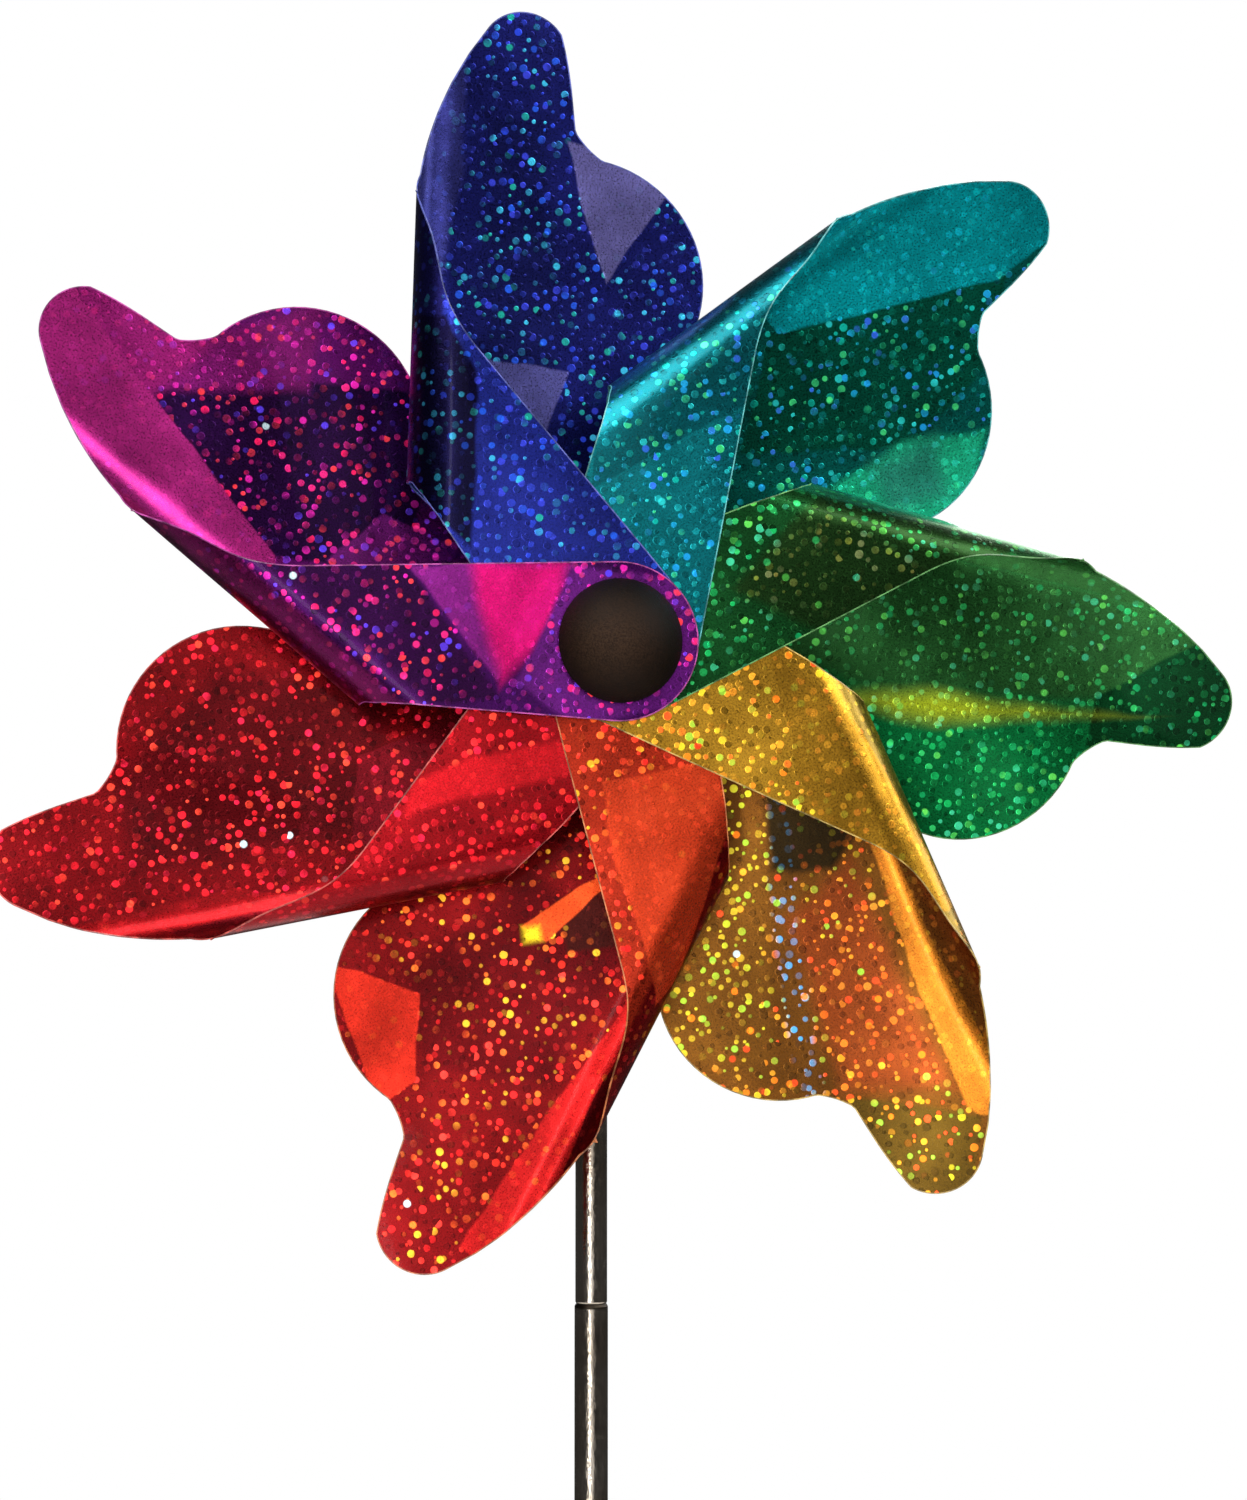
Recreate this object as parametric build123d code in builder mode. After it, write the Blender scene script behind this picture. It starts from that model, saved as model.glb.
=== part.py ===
from build123d import *
from math import acos, asin, atan2, cos, degrees, hypot, radians, sin, sqrt, tan
import os

os.makedirs("parts", exist_ok=True)

# A seven-petal film pinwheel on a sectional ground pole. Millimetres, +Z up.
# The origin is the lower end of the pole's round wall, on the pole's axis, where it enters the ground.
# The wheel turns about a horizontal axle that runs along Y, and its front faces -Y.

# --- pole ---
hub_height = 600.0  # axle above the origin
upper_length = 163.0  # from the axle down to the upper section's shoulder
lower_length = 218.5
upper_radius = 4.0
lower_radius = 4.2
tube_wall = 0.7
spigot_length = 25.0  # necked end that slips into the section below
spike_length = 30.0
spike_tip_radius = 0.8
spike_plug_length = 25.0
slip_gap = 0.05  # radial, between parts that slip together by hand
edge_break = 0.6

# --- wheel: sizes in the wheel's own plane, measured from the axle ---
petal_names = ("magenta", "blue", "teal", "green", "gold", "orange", "red")  # front tab first
first_fold_angle = 139.7  # direction of the first petal's fold line, anticlockwise from +X
film = 0.3
tab_gap = 0.05  # between one front tab and the next
wheel_front = 50.0  # front tab ahead of the pole's axis
back_depth = 29.2  # the back sheets' planes all meet the axle this far behind the front tab
rake = 8.0  # each back sheet leans away from its fold, so it passes behind the next petal

fold_offset = 51.5  # from the axle to the outside of the curl
shoulder_radius = 87.3  # the outline leaves the fold in this wide arc, which runs into the tip's
seam_land = 1.0  # last stretch of both outlines, square to the fold
tab_radius = 19.3
strip_outer_angle = 41.7  # outer edge of the front strip, from the fold line's direction
strip_inner_angle = 36.0
lip_inset = 6.0  # the strip's outer edge turns along the curl this far inside its outside line
lip_lead = 15.0  # the edge meets the fold over this length
lip_round = 8.0
tip_centre = (146.0, 24.8)  # along the fold line, and across it towards the curl
tip_radius = 11.4
lobe_centre = (92.2, 7.5)
lobe_radius = 30.5
notch_angle = 5.0  # where the tip's lower edge meets the body lobe
notch_round = 4.0
ear_centre = (14.0, 7.5)  # root of the back sheet
ear_radius = 5.5

# --- hub ---
axle_radius = 1.5
running_gap = 0.05
end_float = 0.15  # along the axle, each end of the rotor
axle_head_radius = 2.8
axle_head = 1.5
thrust_washer = 0.75
front_washer_radius = 3.3
bush_radius = 3.0
bush_length = 5.0
bush_flange = 0.8
front_bush_flange_radius = 3.7
rear_bush_flange_radius = 4.6
socket_radius = 3.8  # counterbore round the axle's head
barrel_radius = 7.0
barrel_spigot_radius = 5.0
barrel_spigot_reach = 6.0  # ahead of the front tab
barrel_socket_depth = 1.0  # the counterbore's floor, behind the front tab
tab_washer = 1.2
tab_washer_radius = 13.0
flange_radius = 17.0
flange_thickness = 1.6
cap_radius = 15.0
cap_height = 10.3
cap_rim = 1.0
cap_socket_spare = 0.5
plate_radius = 18.5
plate_behind = 3.3  # plate thickness behind the point where the sheets' planes meet
boss_radius = 8.5
boss_lead = 2.7  # the plate's boss stands this far ahead of that point
facet_start = -1.0  # first edge of a petal's facet, from its fold line's direction
stud_radius = 1.5
stud_length = 2.5
stud_head_radius = 2.8
stud_head = 1.0
stud_fit = 0.02
retainer = 2.0
retainer_radius = 9.0

# --- fitting behind the wheel ---
rear_washer_radius = 4.4
head_radius = 7.0
head_above = 8.0  # above and below the axle
head_below = 22.0
head_boss_radius = 6.0
head_behind = 8.5  # back face, behind the pole's axis
head_cover = 6.0  # from the axle down to the end of the pole
head_round = 1.5
nut_washer = 0.5
nut_washer_radius = 3.5
nut_flats = 5.5
nut_thickness = 2.4
axle_spare = 1.6  # thread that shows past the nut

# --- derived places ---
petal_count = len(petal_names)
petal_pitch = 360 / petal_count
tab_pitch = film + tab_gap
tab_stack = petal_count * tab_pitch
flange_back = tab_stack + flange_thickness
plate_front = back_depth - boss_lead
plate_back = back_depth + plate_behind
barrel_back = plate_back + retainer
rear_bush_back = barrel_back + bush_flange
front_bush_front = barrel_socket_depth - bush_flange
front_washer_back = front_bush_front - end_float
axle_shoulder = front_washer_back - thrust_washer
rear_washer_front = rear_bush_back + end_float
head_front = rear_washer_front + thrust_washer
nut_washer_front = wheel_front + head_behind
nut_front = nut_washer_front + nut_washer
nut_back = nut_front + nut_thickness

hub_front = Vector(0, -wheel_front, hub_height)
face_plane = Plane(hub_front, x_dir=(1, 0, 0), z_dir=(0, -1, 0))
turning_plane = Plane(hub_front, x_dir=(0, 1, 0), z_dir=(1, 0, 0))  # x is depth, y is radius
spin_axis = Axis(hub_front, (0, 1, 0))
pole_plane = Plane.XZ
pole_axis = Axis.Z


def polar(centre, radius, angle):
    """A point on a circle, at an angle in degrees."""
    return (centre[0] + radius * cos(radians(angle)), centre[1] + radius * sin(radians(angle)))


def touch_angle(centre, radius, point, other_radius, side):
    """Angle on the first circle where a line touches it and a second circle on the same side."""
    across, up = point[0] - centre[0], point[1] - centre[1]
    lean = degrees(acos((radius - other_radius) / hypot(across, up)))
    return degrees(atan2(up, across)) + side * lean


def fold_angle(index):
    return first_fold_angle - index * petal_pitch


def petal_plane(index):
    """Front plane of the wheel, with x along the petal's fold and y across it towards the curl."""
    along = radians(fold_angle(index))
    return Plane(hub_front, x_dir=(cos(along), 0, sin(along)), z_dir=(0, -1, 0))


def sheet_plane(index):
    """Rear face of the petal's raked back sheet."""
    flat = petal_plane(index)
    normal = flat.z_dir * cos(radians(rake)) - flat.y_dir * sin(radians(rake))
    return Plane(flat.offset(-back_depth).origin, x_dir=flat.x_dir, z_dir=normal)


def curl_radius(index):
    """Outer radius of the curl that joins a front strip at its own depth to the raked back sheet."""
    depth = back_depth - fold_offset * tan(radians(rake)) - index * tab_pitch
    return depth / (1 + cos(radians(rake)) - tan(radians(rake)) * (1 - sin(radians(rake))))


def profile_plane(index):
    """Across the fold: x towards the curl, y forwards, starting behind the tab's edge."""
    flat = petal_plane(index)
    return Plane(hub_front, x_dir=flat.y_dir, z_dir=flat.x_dir).offset(-tab_radius)


strip_reach = tab_radius + tip_centre[0] + tip_radius
fold_start_offset = fold_offset - seam_land
inner_touch = polar((0, 0), tab_radius, strip_inner_angle + 90)
outer_touch = polar((0, 0), tab_radius, strip_outer_angle - 90)
fold_start = inner_touch[0] + (fold_start_offset - inner_touch[1]) / tan(radians(strip_inner_angle))
lip_offset = fold_offset - lip_inset
lip_start = outer_touch[0] + (lip_offset - outer_touch[1]) / tan(radians(strip_outer_angle))
shoulder_drop = tip_centre[1] - (fold_offset - shoulder_radius)
shoulder_centre = (tip_centre[0] - sqrt((shoulder_radius - tip_radius)**2 - shoulder_drop**2),
                   fold_offset - shoulder_radius)
shoulder_start = degrees(asin(1 - seam_land / shoulder_radius))
shoulder_end = degrees(atan2(shoulder_drop, tip_centre[0] - shoulder_centre[0]))
fold_end = polar(shoulder_centre, shoulder_radius, shoulder_start)[0]


def front_half(index):
    """The flat strip over the hub and the first quarter of its curl."""
    radius = curl_radius(index)
    depth = index * tab_pitch
    centre = (fold_offset - radius, -depth - radius)
    with BuildPart() as half:
        with BuildSketch(profile_plane(index)):
            with BuildLine():
                Polyline((centre[0], -depth - film), (-tab_radius, -depth - film),
                         (-tab_radius, -depth), (centre[0], -depth))
                CenterArc(centre, radius, 0, 90)
                Line((fold_offset, centre[1]), (fold_offset - film, centre[1]))
                CenterArc(centre, radius - film, 0, 90)
            make_face()
        extrude(amount=strip_reach)
        with BuildSketch(petal_plane(index)):
            with BuildLine():
                corner = Polyline(outer_touch, (lip_start, lip_offset),
                                  (fold_end - lip_lead, lip_offset + seam_land),
                                  (fold_end, fold_start_offset), (fold_end, fold_offset + seam_land),
                                  (fold_start, fold_offset + seam_land), (fold_start, fold_start_offset),
                                  inner_touch)
                ThreePointArc(inner_touch, (-tab_radius, 0), outer_touch)
                fillet(corner.vertices().sort_by_distance((lip_start, lip_offset))[0], lip_round)
            make_face()
            Circle(barrel_spigot_radius + slip_gap, mode=Mode.SUBTRACT)
        extrude(amount=-back_depth, mode=Mode.INTERSECT)
    return half.part


def back_half(index):
    """The rest of the curl and the raked back sheet, with its two lobes and its root."""
    radius = curl_radius(index)
    centre = (fold_offset - radius, -index * tab_pitch - radius)
    root = (-tab_radius, -back_depth - tab_radius * tan(radians(rake)))
    lobe_far = lobe_centre[1] - lobe_radius - film
    far = (lobe_far, -back_depth + lobe_far * tan(radians(rake)))
    lift = film / cos(radians(rake))
    with BuildPart() as half:
        with BuildSketch(profile_plane(index)):
            with BuildLine():
                CenterArc(centre, radius, 0, rake - 90)
                Polyline(polar(centre, radius, rake - 90), far, (far[0], far[1] + lift),
                         polar(centre, radius - film, rake - 90))
                CenterArc(centre, radius - film, 0, rake - 90)
                Line((fold_offset, centre[1]), (fold_offset - film, centre[1]))
            make_face()
        extrude(amount=strip_reach)
        with BuildSketch(petal_plane(index)):
            root_fold = (fold_start, fold_start_offset)
            lobe_low = touch_angle(lobe_centre, lobe_radius, ear_centre, ear_radius, 1) - 360
            ear_top = touch_angle(ear_centre, ear_radius, root_fold, 0, 1)
            notch = polar(lobe_centre, lobe_radius, notch_angle)
            with BuildLine():
                Polyline(polar(ear_centre, ear_radius, ear_top), root_fold,
                         (fold_start, fold_offset + seam_land), (fold_end, fold_offset + seam_land),
                         (fold_end, fold_start_offset))
                CenterArc(shoulder_centre, shoulder_radius, shoulder_start, shoulder_end - shoulder_start)
                CenterArc(tip_centre, tip_radius, shoulder_end, -90 - shoulder_end)
                Line(polar(tip_centre, tip_radius, -90), notch)
                CenterArc(lobe_centre, lobe_radius, notch_angle, lobe_low - notch_angle)
                Line(polar(lobe_centre, lobe_radius, lobe_low), polar(ear_centre, ear_radius, lobe_low))
                CenterArc(ear_centre, ear_radius, lobe_low, ear_top - 360 - lobe_low)
            sheet = make_face()
            fillet(sheet.vertices().sort_by_distance(notch)[0], notch_round)
            with Locations(ear_centre):
                Circle(stud_radius + slip_gap, mode=Mode.SUBTRACT)
        extrude(amount=-2 * back_depth, mode=Mode.INTERSECT)
    return half.part


def raked_facet(index):
    """The sector of the back plate that one petal's root lies on."""
    with BuildPart() as facet:
        with BuildSketch(petal_plane(index).offset(-plate_back)):
            with BuildLine():
                Line((0, 0), polar((0, 0), plate_radius, facet_start))
                CenterArc((0, 0), plate_radius, facet_start, petal_pitch)
                Line(polar((0, 0), plate_radius, facet_start + petal_pitch), (0, 0))
            make_face()
        extrude(amount=plate_back)
        split(bisect_by=sheet_plane(index), keep=Keep.BOTTOM)
    return facet.part


def turned(outline, plane=turning_plane, axis=spin_axis):
    """A solid of revolution from a closed outline of (along, radius) points."""
    with BuildPart() as piece:
        with BuildSketch(plane):
            with BuildLine():
                Polyline(*outline, close=True)
            make_face()
        revolve(axis=axis)
    return piece.part


def ring(front, back, outer, inner):
    return turned([(front, inner), (back, inner), (back, outer), (front, outer)])


# --- petals ---
for index, colour in enumerate(petal_names):
    front_sheet = front_half(index)
    back_sheet = back_half(index)
    with BuildPart() as petal:
        add(front_sheet)
        add(back_sheet)
    petal.part.label = f"petal_{colour}"
    export_step(petal.part, f"parts/petal_{colour}.step")

# --- hub, turning with the petals ---
barrel_outline = [
    (-barrel_spigot_reach, barrel_spigot_radius),
    (flange_back, barrel_spigot_radius),
    (flange_back, barrel_radius),
    (plate_front, barrel_radius),
    (plate_front, barrel_spigot_radius),
    (barrel_back, barrel_spigot_radius),
    (barrel_back, bush_radius),
    (barrel_socket_depth, bush_radius),
    (barrel_socket_depth, socket_radius),
    (-barrel_spigot_reach, socket_radius),
]
with BuildPart() as hub_barrel:
    add(turned(barrel_outline))
hub_barrel.part.label = "hub_barrel"
export_step(hub_barrel.part, "parts/hub_barrel.step")

bored = barrel_spigot_radius + slip_gap
with BuildPart() as front_flange:
    add(ring(tab_stack, flange_back, flange_radius, bored))
    chamfer(front_flange.faces().sort_by(spin_axis)[-1].outer_wire().edges(), edge_break)
front_flange.part.label = "front_flange"
export_step(front_flange.part, "parts/front_flange.step")

with BuildPart() as tab_clamp_washer:
    add(ring(-tab_washer, 0, tab_washer_radius, bored))
tab_clamp_washer.part.label = "tab_clamp_washer"
export_step(tab_clamp_washer.part, "parts/tab_clamp_washer.step")

with BuildPart() as hub_cap:
    with BuildSketch(turning_plane):
        rim = -tab_washer
        crown = rim - cap_height
        shoulder = rim - cap_rim
        dome_rise = cap_height - cap_rim
        dome_radius = (cap_radius**2 + dome_rise**2) / (2 * dome_rise)
        dome_half = degrees(atan2(cap_radius, dome_radius - dome_rise))
        with BuildLine():
            Polyline((crown, 0), (rim, 0), (rim, cap_radius - cap_rim / 2), (shoulder, cap_radius))
            CenterArc((crown + dome_radius, 0), dome_radius, 180 - dome_half, dome_half)
        make_face()
    revolve(axis=spin_axis)
    with BuildSketch(face_plane.offset(-rim)):
        Circle(bored)
    extrude(amount=barrel_spigot_reach - tab_washer + cap_socket_spare, mode=Mode.SUBTRACT)
hub_cap.part.label = "hub_cap"
export_step(hub_cap.part, "parts/hub_cap.step")

facets = [raked_facet(index) for index in range(petal_count)]
with BuildPart() as back_plate:
    add(facets)
    add(ring(plate_front, plate_back, boss_radius, bored / 2))
    with BuildSketch(face_plane.offset(-plate_front)):
        Circle(bored)
    extrude(amount=-plate_back, mode=Mode.SUBTRACT)
    for index in range(petal_count):
        with BuildSketch(sheet_plane(index)):
            with Locations((ear_centre[0], ear_centre[1] / cos(radians(rake)))):
                Circle(stud_radius + stud_fit)
        extrude(amount=-stud_length, mode=Mode.SUBTRACT)
back_plate.part.label = "back_plate"
export_step(back_plate.part, "parts/back_plate.step")

with BuildPart() as root_studs:
    for index in range(petal_count):
        with BuildSketch(sheet_plane(index).offset(-stud_length)):
            with Locations((ear_centre[0], ear_centre[1] / cos(radians(rake)))):
                Circle(stud_radius)
        extrude(amount=stud_length + film)
        with BuildSketch(sheet_plane(index).offset(film)):
            with Locations((ear_centre[0], ear_centre[1] / cos(radians(rake)))):
                Circle(stud_head_radius)
        extrude(amount=stud_head, taper=30)
root_studs.part.label = "root_studs"
export_step(root_studs.part, "parts/root_studs.step")

with BuildPart() as back_retainer:
    add(ring(plate_back, barrel_back, retainer_radius, bored))
    chamfer(back_retainer.faces().sort_by(spin_axis)[-1].outer_wire().edges(), edge_break)
back_retainer.part.label = "back_retainer"
export_step(back_retainer.part, "parts/back_retainer.step")

bearing_bore = axle_radius + running_gap
with BuildPart() as front_bush:
    add(ring(front_bush_front, barrel_socket_depth, front_bush_flange_radius, bearing_bore))
    add(ring(barrel_socket_depth, barrel_socket_depth + bush_length, bush_radius - stud_fit, bearing_bore))
front_bush.part.label = "front_bush"
export_step(front_bush.part, "parts/front_bush.step")

with BuildPart() as rear_bush:
    add(ring(barrel_back, rear_bush_back, rear_bush_flange_radius, bearing_bore))
    add(ring(barrel_back - bush_length, barrel_back, bush_radius - stud_fit, bearing_bore))
rear_bush.part.label = "rear_bush"
export_step(rear_bush.part, "parts/rear_bush.step")

# --- axle and its fastenings, fixed to the pole ---
with BuildPart() as axle:
    add(ring(axle_shoulder - axle_head, axle_shoulder, axle_head_radius, 0))
    add(ring(axle_shoulder, nut_back + axle_spare, axle_radius, 0))
    chamfer(axle.faces().sort_by(spin_axis)[-1].edges(), edge_break)
axle.part.label = "axle"
export_step(axle.part, "parts/axle.step")

axle_bore = axle_radius + stud_fit
with BuildPart() as front_thrust_washer:
    add(ring(axle_shoulder, front_washer_back, front_washer_radius, axle_bore))
front_thrust_washer.part.label = "front_thrust_washer"
export_step(front_thrust_washer.part, "parts/front_thrust_washer.step")

with BuildPart() as rear_thrust_washer:
    add(ring(rear_washer_front, head_front, rear_washer_radius, axle_bore))
rear_thrust_washer.part.label = "rear_thrust_washer"
export_step(rear_thrust_washer.part, "parts/rear_thrust_washer.step")

with BuildPart() as pole_head:
    with BuildSketch(Plane.XY.offset(hub_height - head_below)):
        Circle(head_radius)
    extrude(amount=head_below + head_above)
    with BuildSketch(face_plane.offset(-head_front)):
        Circle(head_boss_radius)
    extrude(amount=head_front - nut_washer_front)
    fillet(pole_head.faces().sort_by(Axis.Z)[-1].edges(), head_round)
    with BuildSketch(Plane.XY.offset(hub_height - head_below)):
        Circle(upper_radius + slip_gap)
    extrude(amount=head_below - head_cover, mode=Mode.SUBTRACT)
    with BuildSketch(face_plane.offset(-head_front)):
        Circle(axle_bore)
    extrude(amount=head_front - nut_washer_front, mode=Mode.SUBTRACT)
pole_head.part.label = "pole_head"
export_step(pole_head.part, "parts/pole_head.step")

with BuildPart() as rear_washer:
    add(ring(nut_washer_front, nut_front, nut_washer_radius, axle_bore))
rear_washer.part.label = "rear_washer"
export_step(rear_washer.part, "parts/rear_washer.step")

with BuildPart() as rear_nut:
    with BuildSketch(face_plane.offset(-nut_front)):
        RegularPolygon(nut_flats / 2, 6, major_radius=False)
        Circle(axle_bore, mode=Mode.SUBTRACT)
    extrude(amount=-nut_thickness)
rear_nut.part.label = "rear_nut"
export_step(rear_nut.part, "parts/rear_nut.step")

# --- pole sections, each tube necked to slip into the one below ---
upper_end = hub_height - upper_length
spigot_radius = lower_radius - tube_wall - slip_gap
spigot_bore = spigot_radius - tube_wall


def tube_with_spigot(top, shoulder, radius):
    bore = radius - tube_wall
    neck = shoulder + 2 * edge_break
    return turned([(bore, top), (radius - edge_break / 2, top), (radius, top - edge_break),
                   (radius, shoulder + edge_break), (radius - edge_break / 2, shoulder),
                   (spigot_radius, shoulder), (spigot_radius, shoulder - spigot_length),
                   (spigot_bore, shoulder - spigot_length), (spigot_bore, neck),
                   (bore, neck + edge_break)], pole_plane, pole_axis)


with BuildPart() as upper_pole:
    add(tube_with_spigot(hub_height - head_cover, upper_end, upper_radius))
upper_pole.part.label = "upper_pole"
export_step(upper_pole.part, "parts/upper_pole.step")

with BuildPart() as middle_pole:
    add(tube_with_spigot(upper_end, lower_length, lower_radius))
middle_pole.part.label = "middle_pole"
export_step(middle_pole.part, "parts/middle_pole.step")

with BuildPart() as lower_pole:
    add(turned([(lower_radius - tube_wall, lower_length), (lower_radius - edge_break / 2, lower_length),
                (lower_radius, lower_length - edge_break), (lower_radius, 0),
                (lower_radius - tube_wall, 0)], pole_plane, pole_axis))
lower_pole.part.label = "lower_pole"
export_step(lower_pole.part, "parts/lower_pole.step")

with BuildPart() as ground_spike:
    add(turned([(0, spike_plug_length), (spigot_radius, spike_plug_length), (spigot_radius, 0),
                (lower_radius, 0), (spike_tip_radius, -spike_length), (0, -spike_length)],
               pole_plane, pole_axis))
ground_spike.part.label = "ground_spike"
export_step(ground_spike.part, "parts/ground_spike.step")
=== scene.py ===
from math import acos, asin, atan2, cos, exp, hypot, pi, radians, sin, sqrt, tan
import bpy
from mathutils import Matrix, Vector


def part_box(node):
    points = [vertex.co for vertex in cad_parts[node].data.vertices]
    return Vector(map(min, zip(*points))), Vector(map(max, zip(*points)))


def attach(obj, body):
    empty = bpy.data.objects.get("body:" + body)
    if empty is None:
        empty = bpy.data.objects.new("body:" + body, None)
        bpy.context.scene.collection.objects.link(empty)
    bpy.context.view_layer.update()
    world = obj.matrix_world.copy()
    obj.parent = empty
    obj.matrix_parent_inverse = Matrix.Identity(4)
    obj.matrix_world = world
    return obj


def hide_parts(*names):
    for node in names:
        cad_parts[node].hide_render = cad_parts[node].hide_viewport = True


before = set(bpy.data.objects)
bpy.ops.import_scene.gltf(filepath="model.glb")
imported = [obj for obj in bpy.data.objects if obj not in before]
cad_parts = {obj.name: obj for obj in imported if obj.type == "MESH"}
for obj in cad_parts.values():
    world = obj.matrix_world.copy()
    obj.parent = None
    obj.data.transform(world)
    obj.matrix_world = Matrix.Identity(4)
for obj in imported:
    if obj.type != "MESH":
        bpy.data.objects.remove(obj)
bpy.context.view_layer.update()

MM = 0.001

# ---------------------------------------------------------------- places, from the frame
cap_low, cap_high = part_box("hub_cap")
hub = Vector(((cap_low.x + cap_high.x) / 2, 0, (cap_low.z + cap_high.z) / 2))
tab_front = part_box("petal_magenta")[0].y
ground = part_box("ground_spike")[0].z

# ---------------------------------------------------------------- the petal's own sizes
COLOURS = ("magenta", "blue", "teal", "green", "gold", "orange", "red")
PITCH = 2 * pi / len(COLOURS)
FIRST_FOLD = radians(139.7)
FILM = 0.3 * MM
TAB_PITCH = 0.35 * MM
BACK_DEPTH = 29.2 * MM
RAKE = radians(8)
FOLD = 51.5 * MM
SHOULDER_RADIUS = 87.3 * MM
TAB_RADIUS = 19.3 * MM
STRIP_OUTER = radians(41.7)
STRIP_INNER = radians(36)
LIP = 45.5 * MM
LIP_LEAD = 15 * MM
TIP, TIP_RADIUS = (146 * MM, 24.8 * MM), 11.4 * MM
LOBE, LOBE_RADIUS = (92.2 * MM, 7.5 * MM), 30.5 * MM
NOTCH_ANGLE = radians(5)
EAR, EAR_RADIUS = (14 * MM, 7.5 * MM), 5.5 * MM
EDGE_HIGHLIGHT_LINE = 0.3 * MM  # the painted highlight line along a cut edge
PATTERN = 210 * MM  # one unit of the film's UV map
PATTERN_START = 0.12  # where the hub's centre lies on that map
DOT_CELLS = 84.0  # embossed dots along one unit of the map
LARGE_DOT_CELLS = 52.0
FLOOR_RADIUS = 2.6
FLOOR_FADE = (0.35, 1.1)  # from the pole, where the floor starts to fade into the white and where it is gone


def curl_radius(index):
    """The curl that carries one petal from its own tab's depth to the back sheets' planes."""
    depth = BACK_DEPTH - FOLD * tan(RAKE) - index * TAB_PITCH
    return depth / (1 + cos(RAKE) - tan(RAKE) * (1 - sin(RAKE)))


CURL = curl_radius(0)
BEND = FOLD - CURL  # where the flat strip starts to curl
BACK_START = BEND + CURL * (pi - RAKE)  # where the curl ends, along the flat film
BACK_TOP = BEND + CURL * sin(RAKE)  # the same line, seen from the front
SHOULDER_DROP = TIP[1] - (FOLD - SHOULDER_RADIUS)
SHOULDER = (TIP[0] - sqrt((SHOULDER_RADIUS - TIP_RADIUS) ** 2 - SHOULDER_DROP ** 2), FOLD - SHOULDER_RADIUS)
SHOULDER_START = asin(1 - MM / SHOULDER_RADIUS)
SHOULDER_END = atan2(SHOULDER_DROP, TIP[0] - SHOULDER[0])
FOLD_END = SHOULDER[0] + SHOULDER_RADIUS * cos(SHOULDER_START)


# ---------------------------------------------------------------- small helpers
def smooth(x, low, high):
    t = min(max((x - low) / (high - low), 0), 1)
    return t * t * (3 - 2 * t)


def polar(centre, radius, angle):
    return (centre[0] + radius * cos(angle), centre[1] + radius * sin(angle))


def deselect():
    if bpy.context.object and bpy.context.object.mode != "OBJECT":
        bpy.ops.object.mode_set(mode="OBJECT")
    bpy.ops.object.select_all(action="DESELECT")


def only(piece):
    deselect()
    piece.select_set(True)
    bpy.context.view_layer.objects.active = piece


def apply_modifier(piece, kind, **values):
    only(piece)
    modifier = piece.modifiers.new(kind.lower(), kind)
    for key, value in values.items():
        setattr(modifier, key, value)
    bpy.ops.object.modifier_apply(modifier=modifier.name)


def smooth_shade(piece, angle=40):
    only(piece)
    bpy.ops.object.shade_smooth_by_angle(angle=radians(angle))


# ---------------------------------------------------------------- camera
camera_data = bpy.data.cameras.new("camera")
camera = bpy.data.objects.new("camera", camera_data)
bpy.context.scene.collection.objects.link(camera)
bpy.context.scene.camera = camera
CAMERA_SIDE = radians(-8.2)
CAMERA_RISE = radians(-3.02)
CAMERA_AWAY = 900 * MM
AIM_RIGHT, AIM_BELOW = 4.6 * MM, 24.86 * MM  # from the hub to the middle of the frame
aim = Vector((hub.x + AIM_RIGHT, tab_front * 0.5, hub.z - AIM_BELOW))
away = Vector((sin(CAMERA_SIDE) * cos(CAMERA_RISE), -cos(CAMERA_SIDE) * cos(CAMERA_RISE), sin(CAMERA_RISE)))
camera.location = aim + away * CAMERA_AWAY
camera.rotation_euler = (-away).to_track_quat("-Z", "Y").to_euler()
camera_data.lens = 87.5
camera_data.sensor_width = 36
camera_data.clip_start = 0.01


# ---------------------------------------------------------------- the petal's flat pattern
def flat_front(along, across):
    """Where a point seen from the front on the strip, or on the near half of the curl, lies on the flat film."""
    if across <= BEND:
        return (along, across)
    return (along, BEND + CURL * asin(min((across - BEND) / CURL, 1)))


def flat_back(along, across):
    """The same for a point on the far half of the curl or on the back sheet."""
    if across >= BACK_TOP:
        return (along, BEND + CURL * (pi - asin(min((across - BEND) / CURL, 1))))
    return (along, BACK_START + (BACK_TOP - across) / cos(RAKE))


def touch_angle(centre, radius, point, other_radius, side):
    """The angle at which the line touching two circles on one side leaves the first."""
    over, up = point[0] - centre[0], point[1] - centre[1]
    return atan2(up, over) + side * acos((radius - other_radius) / hypot(over, up))


def arc(centre, radius, start, end, step=radians(5)):
    count = max(2, int(abs(end - start) / step))
    return [polar(centre, radius, start + (end - start) * i / count) for i in range(count + 1)]


def spaced(points, step):
    """The same closed line with a point about every step."""
    result = []
    for a, b in zip(points, points[1:] + points[:1]):
        gap = hypot(b[0] - a[0], b[1] - a[1])
        count = max(1, round(gap / step))
        result += [(a[0] + (b[0] - a[0]) * i / count, a[1] + (b[1] - a[1]) * i / count) for i in range(count)]
    return result


def eased(points, corners, passes=70):
    """Corners rounded within a reach of the places given."""
    weights = [max(smooth(reach - hypot(p[0] - c[0], p[1] - c[1]), 0, reach * 0.4) for c, reach in corners)
               for p in points]
    for _ in range(passes):
        moved = list(points)
        for i, weight in enumerate(weights):
            if weight:
                before, here, after = points[i - 1], points[i], points[(i + 1) % len(points)]
                moved[i] = tuple(h + weight * 0.5 * ((b + a) / 2 - h) for b, h, a in zip(before, here, after))
        points = moved
    return points


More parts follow.
